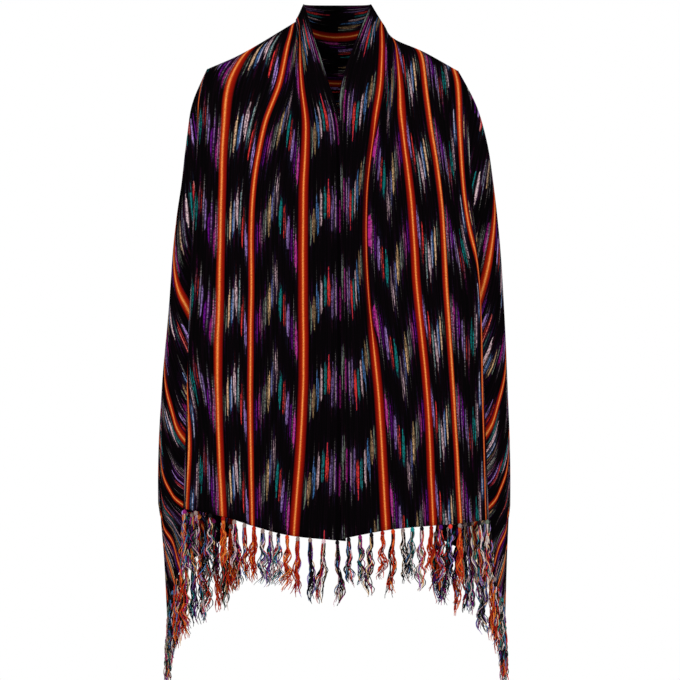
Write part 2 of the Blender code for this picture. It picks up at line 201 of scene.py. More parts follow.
def named(names, table):
    """Rows of a table, each with its values under the names of its columns."""
    return [dict(zip(names, row)) for row in table]


def front_value(half, name, warp):
    """One column of a half's front lines, read smoothly between its warps."""
    return from_table(FRONT_LINES[half], FRONT_COLUMNS, name, warp)


def fall(depth, length):
    """Share of the full depth reached below the shoulder: level at first, then steep."""
    return np.sqrt(1 - np.exp(-np.maximum(depth, 0) / length))


def front_line(half, warp, drop):
    """Points of the front strip. drop is the share of the way down from shoulder to hem."""
    top = front_value(half, "top_up", warp)
    hem = front_value(half, "hem_up", warp)
    depth = (top - hem) * drop
    up = top - depth
    names = [name for name in FRONT_COLUMNS if name[:1] == "o"]
    outs = [front_value(half, name, warp) for name in names]
    stations = [np.broadcast_to(height, np.shape(warp)) for height in FRONT_HEIGHTS]
    heights = [hem, *stations[::-1], np.maximum(top, stations[0] + LEAST_HEIGHT_STEP)]
    outs = [front_value(half, "hem_out", warp), *outs[::-1], front_value(half, "top_out", warp)]
    out = between(up, np.array(heights), np.array(outs))
    middle = 1 - np.clip(out / CHEST_HALF_WIDTH, 0, MOST_GROWTH) ** 2
    reach = FRONT_DEPTH_AT_SIDE + (FRONT_DEPTH - FRONT_DEPTH_AT_SIDE) * middle
    lap = FRONT_OPENING[half] * np.clip(1 - warp / LAP_WIDTH, 0, 1)
    lap = lap * fall(depth, CHEST_FALL)
    return out, -reach * fall(depth, CHEST_FALL) + lap, up


def between(up, heights, outs):
    """Cubic through one row of stations per height, for arrays of equal shape."""
    slopes = np.gradient(outs, axis=0) / np.gradient(heights, axis=0)
    result = outs[0] + 0 * up
    for low in range(len(heights) - 1):
        width = heights[low + 1] - heights[low]
        part = np.clip((up - heights[low]) / width, 0, 1)
        piece = cubic(part, width, outs[low], slopes[low], outs[low + 1], slopes[low + 1])
        result = np.where(up >= heights[low], piece, result)
    return result


def grown(depth, start):
    """0 above the depth where a fold starts, 1 at the full depth and a little more below it."""
    return np.clip((depth - start) / (FULL_DEPTH - start), 0, MOST_GROWTH)


def side_swell(half, depth):
    """How far the cloth over the arm stands out of the shoulder tip at a depth."""
    name = "right_out" if half < 0 else "left_out"
    return from_table(SIDE_SWELL, SIDE_COLUMNS, name, depth)


def line_length(angle):
    """Length of a line of the weave from the shoulder tip to the edge of the cloth."""
    turn = np.radians(np.clip(angle, 0, 90))
    to_end = TIP_TO_FRINGED_END / np.maximum(np.cos(turn), LEAST_COSINE)
    to_edge = TIP_TO_OUTER_EDGE / np.maximum(np.sin(turn), LEAST_COSINE)
    return np.minimum(to_end, to_edge)


def shoulder_tip(half):
    """How far out and how high the shoulder tip is: the top of the front strip's last warp."""
    warp = np.array([TIP_FROM_EDGE])
    return front_value(half, "top_out", warp)[0], front_value(half, "top_up", warp)[0]


def wedge_bend(angle):
    """What a line loses in height by bending over the shoulder: most in front and behind."""
    return BEND_ALLOWANCE * np.clip(np.abs(angle - SIDE_ANGLE) / SIDE_ANGLE, LEAST_BEND, 1)


def fold_value(name, angle):
    """One column of the front fold, read smoothly between its angles."""
    return from_table(FRONT_FOLD, FOLD_COLUMNS, name, angle)


def fold_line(half, angle, drop):
    """Points from the outer fold of the front strip to the side of the arm."""
    tip_out, tip_up = shoulder_tip(half)
    warp = np.full(np.shape(angle), TIP_FROM_EDGE)
    strip_hem = tip_up - front_value(half, "hem_up", warp)
    free = line_length(angle) - wedge_bend(angle)
    share = np.clip(angle / SIDE_ANGLE, 0, 1)
    length = free + (strip_hem - free) * (1 - share) ** 3
    depth = length * drop
    strip_drop = depth / strip_hem
    strip_out, strip_back, _ = front_line(half, warp, np.minimum(strip_drop, 1))
    settled = 1 - np.exp(-depth / FOLD_SETTLE)
    reach = share + (fold_value("reach", angle) - share) * settled
    swing = np.radians(90 * reach)
    side = tip_out + side_swell(half, depth)
    growth = grown(depth, TUCK_START)
    layer = grown(depth, LAYER_START) ** LAYER_GROWTH
    out = strip_out + (side - strip_out) * np.sin(swing) - growth * fold_value("tuck", angle)
    back = strip_back * np.cos(swing) + layer * fold_value("behind", angle)
    return out, back, tip_up - depth


def back_top(half, centre):
    """Where the back starts: on the shoulder outside the neck, round the neck inside it."""
    shoulder = (centre - NECK_FROM_CENTRE) / (TIP_FROM_CENTRE - NECK_FROM_CENTRE)
    warp = TIP_FROM_EDGE * np.clip(shoulder, 0, 1)
    turn = np.radians(90 * np.clip(1 - centre / NECK_FROM_CENTRE, 0, 1))
    out = front_value(half, "top_out", warp) * np.cos(turn)
    up = front_value(half, "top_up", warp) * np.cos(turn) ** 2
    return warp, out, NECK_RADIUS * np.sin(turn), up


def soft_ramp(value, round_off):
    """0 below zero and the value above it, with the corner rounded."""
    return (value + np.sqrt(value**2 + round_off**2)) / 2


def neck_curve(centre):
    """How much the rounding at the neck points lifts a line of the back."""
    near = soft_ramp(centre - NECK_FROM_CENTRE, NECK_ROUND)
    far = soft_ramp(-centre - NECK_FROM_CENTRE, NECK_ROUND)
    lift = near + far - np.maximum(centre - NECK_FROM_CENTRE, 0)
    return lift * ease((TIP_FROM_CENTRE - centre) / NECK_SPREAD)


def tip_curve(angle, centre):
    """How much the rounding under the shoulder tip lowers a line of the wedge or the back."""
    beside = TIP_FROM_CENTRE - centre + TIP_SPREAD * (90 - angle)
    part = np.clip((angle - SIDE_ANGLE) / (90 - SIDE_ANGLE), 0, 1)
    return soft_ramp(-beside, TIP_ROUND) * part


def back_line(half, share, drop):
    """Points from the side of the arm (share 0) to the middle of the back (share 1)."""
    tip_out, tip_up = shoulder_tip(half)
    wedge = share < BACK_SHARE_OF_WEDGE
    angle = SIDE_ANGLE + (90 - SIDE_ANGLE) * np.clip(share / BACK_SHARE_OF_WEDGE, 0, 1)
    inner = np.clip((1 - share) / (1 - BACK_SHARE_OF_WEDGE), 0, 1)
    centre = TIP_FROM_CENTRE * inner
    warp, top_out, top_back, top_up = back_top(half, centre)
    hanging = CLOTH_WIDTH - warp - BEND_ALLOWANCE
    length = np.where(wedge, line_length(angle) - wedge_bend(angle), hanging)
    length = length + EDGE_LEAN * (tip_curve(angle, centre) - neck_curve(centre))
    depth = length * drop
    turn = np.radians(90 * share)
    dome_turn = np.radians(90 * np.clip(share / BACK_SHARE_OF_WEDGE, 0, 1))
    swell = side_swell(half, depth)
    dome_out = top_out + swell * np.cos(dome_turn)
    dome_back = BACK_DEPTH * np.sin(dome_turn)
    section_out = (tip_out + swell) * np.cos(turn) ** SECTION_ROUNDNESS_OUT
    section_back = BACK_DEPTH * np.sin(turn) ** SECTION_ROUNDNESS_BACK
    growth = grown(depth, FLUTE_START)
    wave = np.cos(2 * np.pi * FLUTES * share) * np.clip(share / FIRST_FLUTE, 0, 1)
    wave = wave * FLUTE_DEPTH * growth
    settled = 1 - np.exp(-depth / SIDE_SHIFT_FALL)
    out = dome_out + (section_out - dome_out) * settled + wave * np.cos(turn)
    back = dome_back + (section_back - dome_back) * settled
    back = top_back + (back - top_back) * fall(depth, CHEST_FALL) + wave * np.sin(turn)
    return out, back, top_up - depth


def drop_of(v):
    """Rows are close together over the shoulder and farther apart below."""
    return v**2 / (ROW_CROWDING + (1 - ROW_CROWDING) * v)


def cloth_point(half, u, v):
    """Points of the cloth's outer face for arrays u and v of one shape."""
    drop = drop_of(v)
    angle = 90 * (u - 1)
    wedge_share = (angle - SIDE_ANGLE) / (90 - SIDE_ANGLE) * BACK_SHARE_OF_WEDGE
    share = np.where(u < 2, wedge_share, BACK_SHARE_OF_WEDGE + (u - 2) * (1 - BACK_SHARE_OF_WEDGE))
    front = front_line(half, TIP_FROM_EDGE * np.clip(u, 0, 1), drop)
    fold = fold_line(half, np.clip(angle, 0, SIDE_ANGLE), drop)
    back = back_line(half, np.clip(share, 0, 1), drop)
    place = [u <= 1, angle <= SIDE_ANGLE]
    out, across, up = (np.select(place, [a, b], c) for a, b, c in zip(front, fold, back))
    return np.stack([half * out, across, up], axis=-1)


def cloth_normal(half, u, v):
    """Unit vectors pointing out of the cloth, from the slopes of cloth_point."""
    low = np.clip(u - NORMAL_STEP, 0, 3)
    high = np.clip(u + NORMAL_STEP, 0, 3)
    deep = np.clip(v, NORMAL_STEP, 1 - NORMAL_STEP)
    along = cloth_point(half, high, deep) - cloth_point(half, low, deep)
    down = cloth_point(half, u, deep + NORMAL_STEP) - cloth_point(half, u, deep - NORMAL_STEP)
    normal = np.cross(down, along) * half
    return normal / np.linalg.norm(normal, axis=-1, keepdims=True)


# Columns of the grid in each region of one half, and rows down it. The front strip has them
# by share of its width, with how many lie up to there.
GRID_STRIP = ((0.0, 0), (0.22, 11), (0.34, 25), (1.0, 54))
GRID_FOLD = 56
GRID_BEHIND = 38
GRID_NAPE = 12
GRID_ROWS = 108

# At the side the cloth has swung round the arm: how many degrees of the weave its line
# lies short of the plain fan, by share of the way down.
SWING_COLUMNS = ("share", "right", "left")
SIDE_SWING = (
    (0.00, 0.0, 0.0),
    (0.1, 6.0, 5.0),
    (0.23, 14.0, 9.5),
    (0.35, 17.5, 12.5),
    (0.54, 15.0, 13.5),
    (0.73, 11.5, 10.5),
    (0.82, 8.0, 7.5),
    (0.92, 2.0, 2.5),
    (1.00, 0.0, 0.0),
)
# How much of that swing each line takes, by its angle in the plain fan.
TAKE_COLUMNS = ("line", "part")
TAKE_BEFORE_ARM = (
    (0.0, 0.0),
    (14.0, 0.4),
    (22.0, 0.67),
    (26.0, 0.77),
    (30.0, 0.8),
    (33.0, 0.72),
)
TAKE_BEHIND_ARM = (
    (33.0, 0.72),
    (40.0, 0.95),
    (47.0, 1.05),
    (55.0, 1.07),
    (62.0, 1.03),
    (69.0, 0.9),
    (76.0, 0.69),
    (83.0, 0.38),
    (90.0, 0.0),
)


def weave_angle(half, line, share):
    """Angle in the weave at a share of the way down one line of the wedge, in degrees."""
    name = "right" if half < 0 else "left"
    swing = from_table(SIDE_SWING, SWING_COLUMNS, name, share)
    tables = (TAKE_BEFORE_ARM, TAKE_BEHIND_ARM)
    before, behind = (from_table(table, TAKE_COLUMNS, "part", line) for table in tables)
    return line - swing * np.where(line < SIDE_ANGLE, before, behind)


# Share of a back line over which the front's measures run into the back's, and how
# widely the warps turn where they come over the shoulder line, in mm.
NAPE_EASE = 0.3
SHOULDER_ROUND = 40.0
SHOULDER_SPREAD = 80.0


def fallen(half, u, v):
    """Share of each hanging line's own length above a place, on a grid whose rows run down."""
    steps = np.linalg.norm(np.diff(cloth_point(half, u, v), axis=0), axis=-1)
    run = np.concatenate([0 * steps[:1], np.cumsum(steps, axis=0)])
    return run / run[-1], run


def top_end(half, warp):
    """Distance from the fringed end to the shoulder line, along one warp of the front strip."""
    tip = np.full(np.shape(warp), TIP_FROM_EDGE)
    tall = front_value(half, "top_up", warp) - front_value(half, "hem_up", warp)
    tip_tall = front_value(half, "top_up", tip) - front_value(half, "hem_up", tip)
    return TIP_TO_FRINGED_END * tall / tip_tall


def cloth_measures(half, u, v):
    """Distance from the inner edge and from the fringed end, on the cloth itself, in mm.

    On the front strip a line is one warp; on the wedge it leaves the shoulder tip at its
    angle in the weave; on the back it is one weft, and the distance grows down it. Over
    the shoulder line the front's and the back's measures run into each other.
    """
    share, run = fallen(half, u, v)
    line = np.clip(90 * (u - 1), 0, 90)
    angle = np.radians(weave_angle(half, line, share))
    centre = TIP_FROM_CENTRE * np.clip(3 - u, 0, 1)
    outside = np.maximum(centre - NECK_FROM_CENTRE, 0)
    start = TIP_FROM_EDGE * outside / (TIP_FROM_CENTRE - NECK_FROM_CENTRE)
    warp = np.where(u < 1, TIP_FROM_EDGE * u, start)
    spread = ease(warp / SHOULDER_SPREAD) * ease((TIP_FROM_EDGE - warp) / SHOULDER_SPREAD)
    beyond = spread * soft_ramp(-run, SHOULDER_ROUND)
    settled = ease(share / NAPE_EASE)
    bend = EDGE_LEAN * (neck_curve(centre) - tip_curve(line, centre)) * (1 - share) * settled
    front_end = top_end(half, warp) * (1 - share) - beyond
    length = line_length(line) * share
    wedge_across = TIP_FROM_EDGE + length * np.sin(angle) + bend
    wedge_end = TIP_TO_FRINGED_END - length * np.cos(angle)
    back_across = start + (CLOTH_WIDTH - start) * share + beyond + bend
    back_end = TIP_TO_FRINGED_END + TIP_FROM_CENTRE - centre
    gap = top_end(half, start) + np.maximum(NECK_FROM_CENTRE - centre, 0) - back_end
    back_end = back_end + gap * (1 - settled) - beyond
    place = [u <= 1, u <= 2]
    across = np.select(place, [warp + beyond, wedge_across], back_across)
    end = np.select(place, [front_end, wedge_end], back_end)
    return across, end if half < 0 else CLOTH_LENGTH - end


# At the outer fold of each front strip the cloth has slid round the edge: how far in mm,
# by share of the way down. Positive brings more of the outer stripes to the front.
SLIDE_COLUMNS = ("drop", "right", "left")
EDGE_SLIDES = (
    (0.00, -15.0, 8.0),
    (0.36, -15.0, 8.0),
    (0.44, -15.0, -3.0),
    (0.7, -14.0, -4.0),
    (0.8, 0.0, -4.0),
    (1.00, 1.0, -3.0),
)
SLIDE_FROM = 0.8
SLIDE_ENDS = 14.0

# Pinched tucks that swallow a few threads: half, warp, reach across, strength, in mm, and
# the shares of the way down between which they run.
TUCK_COLUMNS = ("half", "warp", "wide", "deep", "start", "stop")
TUCKS = (
    (1, 70.0, 5.0, 12.0, 0.18, 0.66),
    (-1, 62.0, 12.0, 20.0, -0.2, 0.1),
    (1, 155.0, 14.0, -8.0, -0.2, 0.22),
)
TUCK_EASE = 0.08


def slipped(half, u, v):
    """How far the warp at a place differs from the plain drape's, in mm.

    The slide at the outer fold fades off to both sides, and a tuck is a bell's slope.
    """
    drop = drop_of(v)
    angle = 90 * (u - 1)
    name = "right" if half < 0 else "left"
    slide = from_table(EDGE_SLIDES, SLIDE_COLUMNS, name, drop)
    inside = ease((u - SLIDE_FROM) / (1 - SLIDE_FROM))
    slip = slide * np.where(u < 1, inside, 1 - ease(angle / SLIDE_ENDS))
    for tuck in named(TUCK_COLUMNS, TUCKS):
        if tuck["half"] == half:
            far = (TIP_FROM_EDGE * u - tuck["warp"]) / tuck["wide"]
            rise = ease((drop - tuck["start"]) / TUCK_EASE)
            rise = rise * ease((tuck["stop"] - drop) / TUCK_EASE)
            slip = slip + tuck["deep"] * far * np.exp(-far * far) * rise
    return slip


# Creases laid one by one. Each row: half, line u at the top and at the bottom, width in u,
# depth in mm (a ridge if negative), and the levels v where it starts and ends.
CREASE_COLUMNS = ("half", "u_top", "u_low", "wide", "deep", "start", "stop")
CREASES = (
    (-1, 0.3, 0.22, 0.09, 5.0, 0.02, 0.42),
    (-1, 0.46, 0.42, 0.07, 4.0, 0.02, 0.55),
    (-1, 0.56, 0.72, 0.07, 5.0, 0.00, 0.5),
    (-1, 0.7, 0.58, 0.06, -3.5, 0.05, 0.45),
    (-1, 0.84, 0.92, 0.05, 3.5, 0.05, 0.8),
    (-1, 0.13, 0.13, 0.06, 3.0, 0.45, 1.05),
    (-1, 0.47, 0.5, 0.07, 3.0, 0.55, 1.05),
    (-1, 0.7, 0.66, 0.05, 3.5, 0.6, 1.05),
    (1, 0.18, 0.12, 0.07, 6.0, 0.02, 0.5),
    (1, 0.33, 0.3, 0.05, -4.0, 0.02, 0.5),
    (1, 0.44, 0.4, 0.06, 6.0, 0.02, 0.62),
    (1, 0.52, 0.7, 0.06, -4.5, 0.02, 0.48),
    (1, 0.66, 0.78, 0.06, 5.0, 0.02, 0.6),
    (1, 0.88, 0.84, 0.05, 3.0, 0.1, 0.9),
    (1, 0.24, 0.3, 0.07, 3.5, 0.5, 1.05),
    (1, 0.58, 0.56, 0.07, 3.0, 0.55, 1.05),
    (-1, 1.29, 1.29, 0.05, 8.0, 0.62, 1.35),
    (1, 1.29, 1.29, 0.05, 7.0, 0.62, 1.35),
    (-1, 1.42, 1.5, 0.04, 4.0, 0.3, 0.85),
    (-1, 1.6, 1.52, 0.045, -4.0, 0.12, 0.6),
    (-1, 1.78, 1.86, 0.05, 5.0, 0.1, 0.75),
    (-1, 2.06, 1.98, 0.05, -4.5, 0.04, 0.55),
    (-1, 2.2, 2.34, 0.06, 6.0, 0.03, 0.62),
    (-1, 2.4, 2.52, 0.05, -4.5, 0.08, 0.7),
    (-1, 2.6, 2.46, 0.05, 4.5, 0.12, 0.46),
    (-1, 2.68, 2.8, 0.06, 5.0, 0.35, 1.05),
    (-1, 2.2, 2.14, 0.05, 4.0, 0.55, 1.05),
    (1, 1.5, 1.44, 0.04, 4.0, 0.22, 0.7),
    (1, 1.66, 1.74, 0.05, -4.5, 0.1, 0.66),
    (1, 1.9, 1.8, 0.045, 4.5, 0.14, 0.58),
    (1, 2.02, 2.14, 0.06, 5.5, 0.03, 0.7),
    (1, 2.28, 2.22, 0.05, -4.0, 0.05, 0.5),
    (1, 2.4, 2.6, 0.06, 6.0, 0.06, 0.78),
    (1, 2.74, 2.62, 0.05, -4.0, 0.15, 0.52),
    (1, 2.86, 2.78, 0.05, 4.5, 0.45, 1.05),
    (1, 1.84, 1.92, 0.05, 4.0, 0.5, 1.05),
)
# A crease comes in over a fifth of its run and goes out over a third of it.
CREASE_IN = 5
CREASE_OUT = 3
# Slow waves between the creases: radians over one u and over one v, radians more on the
# wearer's left and less on the right, and height in mm. They come in below the shoulder.
WAVE_COLUMNS = ("across", "down", "apart", "height")
SLOW_WAVES = (
    (9.0, 2.2, 1.0, 0.9),
    (17.0, -3.1, 0.0, 0.54),
)
WAVES_IN = 4
CENTRE_FADE = 0.12


def crease_height(half, u, v):
    """How far the cloth stands out of its smooth form, in mm: soft bells along drifting lines."""
    height = np.zeros(np.shape(u))
    for at in named(CREASE_COLUMNS, CREASES):
        if at["half"] != half:
            continue
        along = (v - at["start"]) / (at["stop"] - at["start"])
        line = at["u_top"] + (at["u_low"] - at["u_top"]) * np.clip(along, 0, 1)
        rise = ease(np.minimum(along * CREASE_IN, (1 - along) * CREASE_OUT))
        height -= at["deep"] * rise * np.exp(-(((u - line) / at["wide"]) ** 2))
    for wave in named(WAVE_COLUMNS, SLOW_WAVES):
        turn = wave["across"] * u + wave["down"] * v + wave["apart"] * half
        height += wave["height"] * np.sin(turn) * np.clip(WAVES_IN * v, 0, 1)
    return height * ease((3 - u) / CENTRE_FADE)


def cloth_surface(half, lines):
    """Grid of points and cloth measures: the drape, moved out by the creases."""
    u, v = np.meshgrid(lines, np.linspace(0, 1, GRID_ROWS + 1))
    points = cloth_point(half, u, v)
    points = points + cloth_normal(half, u, v) * crease_height(half, u, v)[..., None]
    points[0] = cloth_point(half, u[:1], v[:1])[0]
    across, end = cloth_measures(half, u, v)
    return points, np.stack([across + slipped(half, u, v), end], axis=-1)


def grid_lines():
    """The hanging lines of one half, from the inner edge round to the middle of the back."""
    shares, counts = zip(*GRID_STRIP)
    strip = np.interp(np.arange(counts[-1] + 1), counts, shares)
    fold = np.linspace(1, 1 + SIDE_ANGLE / 90, GRID_FOLD + 1)[1:]
    behind = np.linspace(1 + SIDE_ANGLE / 90, 2, GRID_BEHIND + 1)[1:]
    shoulder = NECK_FROM_CENTRE + (TIP_FROM_CENTRE - NECK_FROM_CENTRE) * strip[-2::-1]
    nape = np.linspace(NECK_FROM_CENTRE, 0, GRID_NAPE + 1)[1:]
    back = 3 - np.concatenate([shoulder, nape]) / TIP_FROM_CENTRE
    return np.concatenate([strip, fold, behind, back])


def grid_faces(rows, columns, first, flip):
    """Four-cornered faces of a grid whose corners are numbered from first."""
    keys = first + np.arange(rows * columns).reshape(rows, columns)
    ring = np.stack([keys[:-1, :-1], keys[:-1, 1:], keys[1:, 1:], keys[1:, :-1]], axis=-1)
    ring = ring.reshape(-1, 4)
    return ring[:, ::-1] if flip else ring


def new_mesh(name, corners, faces, corner_map=None):
    """Mesh object from numpy arrays in mm, with a UV map in metres if one is given."""
    mesh = bpy.data.meshes.new(name)
    corners = np.asarray(corners, float) * METRES_PER_MM
    faces = np.asarray(faces)
    mesh.vertices.add(len(corners))
    mesh.vertices.foreach_set("co", corners.ravel())
    mesh.loops.add(faces.size)
    mesh.loops.foreach_set("vertex_index", faces.ravel())
    mesh.polygons.add(len(faces))
    mesh.polygons.foreach_set("loop_start", np.arange(len(faces)) * faces.shape[1])
    mesh.polygons.foreach_set("use_smooth", np.ones(len(faces), bool))
    mesh.update(calc_edges=True)
    if corner_map is not None:
        layer = mesh.uv_layers.new(name=WEAVE_MAP)
        spread = np.asarray(corner_map, float)[faces.ravel()] * METRES_PER_MM
        layer.data.foreach_set("uv", spread.ravel())
    item = bpy.data.objects.new(name, mesh)
    bpy.context.scene.collection.objects.link(item)
    return item


# Corners nearer than this are one, and edges shorter than this go, in metres.
WELD = 2e-6
LEAST_EDGE = 1e-7


def build_cloth():
    """Both halves as one shell, welded along the shoulders and down the middle of the back."""
    lines = grid_lines()
    corners = []
    measures = []
    faces = []
    for half in (-1, 1):
        points, measure = cloth_surface(half, lines)
        faces.append(grid_faces(*points.shape[:2], len(corners) * points[..., 0].size, half > 0))
        corners.append(points.reshape(-1, 3))
        measures.append(measure.reshape(-1, 2))
    item = new_mesh("cloth", *(np.concatenate(part) for part in (corners, faces, measures)))
    work = bmesh.new()
    work.from_mesh(item.data)
    bmesh.ops.remove_doubles(work, verts=work.verts, dist=WELD)
    bmesh.ops.dissolve_degenerate(work, edges=work.edges, dist=LEAST_EDGE)
    work.to_mesh(item.data)
    work.free()
    shell = item.modifiers.new("shell", "SOLIDIFY")
    shell.thickness = CLOTH_WALL * METRES_PER_MM
    shell.offset = -1
    return item


class Sum:
    """A shader value that Python's own operators combine, one Math node each."""

    def __init__(self, tree, socket):
        self.tree = tree
        self.socket = socket

    def node(self, kind, settings=None, inputs=(), output=0):
        """Any node: its type, its settings, and numbers, colours or values for its sockets."""
        made = self.tree.nodes.new(kind)
        for key, value in (settings or {}).items():
            setattr(made, key, value)
        for key, value in dict(inputs).items():
            if isinstance(value, Sum):
                self.tree.links.new(value.socket, made.inputs[key])
            else:
                made.inputs[key].default_value = value
        return Sum(self.tree, made.outputs[output])

    def math(self, operation, *others, clamp=False):
        """One Math node on this value and others."""
        settings = {"operation": operation, "use_clamp": clamp}
        return self.node("ShaderNodeMath", settings, enumerate((self, *others)))

    def __add__(self, other):
        return self.math("ADD", other)

    __radd__ = __add__

    def __mul__(self, other):
        return self.math("MULTIPLY", other)

    __rmul__ = __mul__

    def __sub__(self, other):
        return self.math("SUBTRACT", other)

    def __rsub__(self, other):
        return (self * -1) + other

    def __truediv__(self, other):
        return self.math("DIVIDE", other)

    def clip(self):
        """The value held between 0 and 1."""
        return self.math("ADD", 0.0, clamp=True)

    def soft(self):
        """0 to 1 with a level start and end."""
        part = self.clip()
        return part * part * (3 - part * 2)


def mix(amount, first, second):
    """Colour between two colours by a value."""
    sockets = {0: amount, 6: first, 7: second}
    return amount.node("ShaderNodeMix", {"data_type": "RGBA"}, sockets, output=2)


def ramp(value, stops, step=False):
    """Colour ramp through (place, colour) stops."""
    made = value.node("ShaderNodeValToRGB", None, {0: value})
    tones = made.socket.node.color_ramp
    tones.interpolation = "CONSTANT" if step else "LINEAR"
    while len(tones.elements) < len(stops):
        tones.elements.new(0.5)
    for element, (place, color) in zip(tones.elements, stops):
        element.position = place
        element.color = (*color, 1)
    return made


def tone(red, green, blue):
    """Linear colour of a tone given in steps of 0 to 255."""
    return tuple(((step / 255 + 0.055) / 1.055) ** 2.4 for step in (red, green, blue))


# Warp stripes: middle from the inner edge, half width on the wearer's right and left,
# how far the bright core lies outside the middle, and the core's half width, in mm.
STRIPE_COLUMNS = ("middle", "right", "left", "core", "glow")
STRIPES = (
    (70.0, 8.8, 8.8, 0.0, 1.9),
    (155.0, 5.4, 7.8, 0.0, 1.8),
    (204.0, 6.2, 4.8, 1.6, 1.9),
    (252.0, 4.8, 4.8, 0.0, 1.8),
    (330.0, 5.6, 5.6, 0.6, 1.8),
    (410.0, 6.2, 6.2, 0.8, 1.9),
    (495.0, 5.6, 5.6, 0.0, 1.8),
    (580.0, 7.0, 6.2, 0.8, 1.9),
    (630.0, 5.0, 5.0, -0.6, 1.8),
    (705.0, 8.8, 8.8, 0.0, 1.9),
)
# Width over which a stripe's edge fades, in mm, and the stripe's tones by distance from
# its core, in half widths of the core.
STRIPE_EDGE = 1.6
STRIPE_REACH = 4.0
STRIPE_TONES = (
    (0.0, tone(244, 166, 94)),
    (0.35, tone(236, 134, 62)),
    (0.8, tone(200, 76, 22)),
    (1.35, tone(156, 30, 8)),
    (2.6, tone(132, 15, 6)),
    (4.0, tone(84, 6, 8)),
)
# Dark specks show where soft noise is over a level and the stitches' grain is under one.
DARK_RED = tone(110, 12, 6)
SPECKLE_SCALE = 900.0
SPECKLE_OVER = 0.4
SPECKLE_GAIN = 1.2
STITCH_UNDER = 0.9
STITCH_GAIN = 0.35

# Ikat yarn colours in the order in which they lie across the cloth.
YARNS = (
    ("grey_green", tone(112, 128, 112)),
    ("magenta", tone(164, 34, 126)),
    ("purple", tone(98, 16, 124)),
    ("lavender", tone(166, 130, 206)),
    ("red", tone(226, 58, 48)),
    ("teal", tone(20, 132, 132)),
    ("pink_white", tone(232, 196, 204)),
    ("blue", tone(70, 120, 176)),
    ("cream", tone(236, 192, 138)),
)
GROUND = tone(3, 2, 3)
GROUND_TINT = tone(15, 6, 13)
DEEP_PURPLE = tone(88, 14, 104)
PALE_THREAD = tone(228, 206, 206)
DOT_TONE = tone(206, 200, 196)
HAZE_TONES = (
    (0.0, tone(84, 14, 108)),
    (0.45, tone(96, 16, 40)),
    (0.75, tone(30, 58, 84)),
    (1.0, tone(84, 20, 96)),
)

# Bands of ikat between the stripes, in mm: yarn groups in each, where its chevron peaks as
# a share of its width, the height of the peak over the fringed end, and how much lower the
# strokes start at the band's inner and outer sides.
BAND_COLUMNS = ("start", "stop", "groups", "peak", "top", "drop_in", "drop_out")
BANDS = (
    (0.0, 61.5, 10, 0.42, 142.1, 48.6, 46.8),
    (78.5, 149.0, 11, 0.5, 136.5, 101.0, 82.3),
    (161.0, 198.5, 7, 0.45, 104.7, 61.7, 54.2),
    (209.0, 247.0, 7, 0.5, 100.0, 61.7, 69.2),
    (257.0, 324.5, 12, 0.5, 123.4, 86.0, 86.0),
    (335.5, 404.0, 12, 0.48, 110.3, 91.6, 78.5),
    (416.0, 489.5, 12, 0.52, 131.8, 82.3, 87.9),
    (500.5, 573.0, 12, 0.5, 117.8, 86.0, 91.6),
    (587.0, 625.0, 7, 0.5, 102.9, 61.7, 61.7),
    (635.0, 696.5, 11, 0.5, 136.5, 82.3, 95.4),
    (713.5, 770.0, 9, 0.58, 142.1, 50.5, 52.4),
)
# Height of one repeat, how far the repeats are shifted from one end to the other, length of
# a stroke and of the haze round it, how far single threads and whole groups have slipped,
# width of a thread and pitch of the weft, in mm.
REPEAT = 134.0
END_SHIFT = 28.0
# What sets a thread's tone and tint and a group's slip apart from the thread's slip.
STRAND_DRAW = 0.37
TINT_DRAW = 0.71
GROUP_DRAW = 0.5
STROKE = 52.0
HAZE = 97.0
THREAD_STEP = 26.0
GROUP_STEP = 10.0
THREAD = 1.1
WEFT_PITCH = 2.2
# The warps wander sideways a little, in mm.
WANDER = 2.4
WANDER_SCALE = 9.0

# How far strokes, haze and dots show, and by which chance of a thread. A gain sharpens
# the step between threads that show and threads that don't.
STROKE_FULLNESS = 0.92
STROKE_ROUNDNESS = 0.5
STROKE_EDGE = 3.4
STROKE_STRENGTH = 1.7
PURPLE_UNDER = 0.24
PURPLE_GAIN = 2.4
PALE_OVER = 0.82
PALE_GAIN = 3.2
TINT_STRENGTH = 0.6
HAZE_GAIN = 1.8
HAZE_LEAST = 0.8
HAZE_STRENGTH = 0.36
DOTS_OVER = 0.88
DOTS_GAIN = 12
DOT_ON_RIB = 4
DOT_STRENGTH = 0.5
GRAIN = 0.9
GRAIN_LEAST = 0.2

# Relief of the cloth: weft ribs, which also shade it, and a slow ripple.
RIB_SHADE = 0.16
RIB_RELIEF = 0.12
RIPPLE_RELIEF = 2.0
RIPPLE_SCALE = 60.0
RELIEF_STRENGTH = 0.55
RELIEF_METRES = 0.0012
MATT = 0.8


def arch(share):
    """0 at both ends of a stretch, 1 in its middle, and 0 past its end."""
    share = share.math("MINIMUM", 1.0)
    return share * (1.0 - share) * 4.0


def chance_of(value, seed=0.0):
    """A chance from 0 to 1 that belongs to each whole value."""
    value = value + seed if seed else value
    return value.node("ShaderNodeTexWhiteNoise", {"noise_dimensions": "1D"}, {"W": value})


def clouds(place, scale, detail):
    """Soft noise over a place, near 0.5 on average."""
    sockets = {"Vector": place, "Scale": scale, "Detail": detail}
    return place.node("ShaderNodeTexNoise", None, sockets)


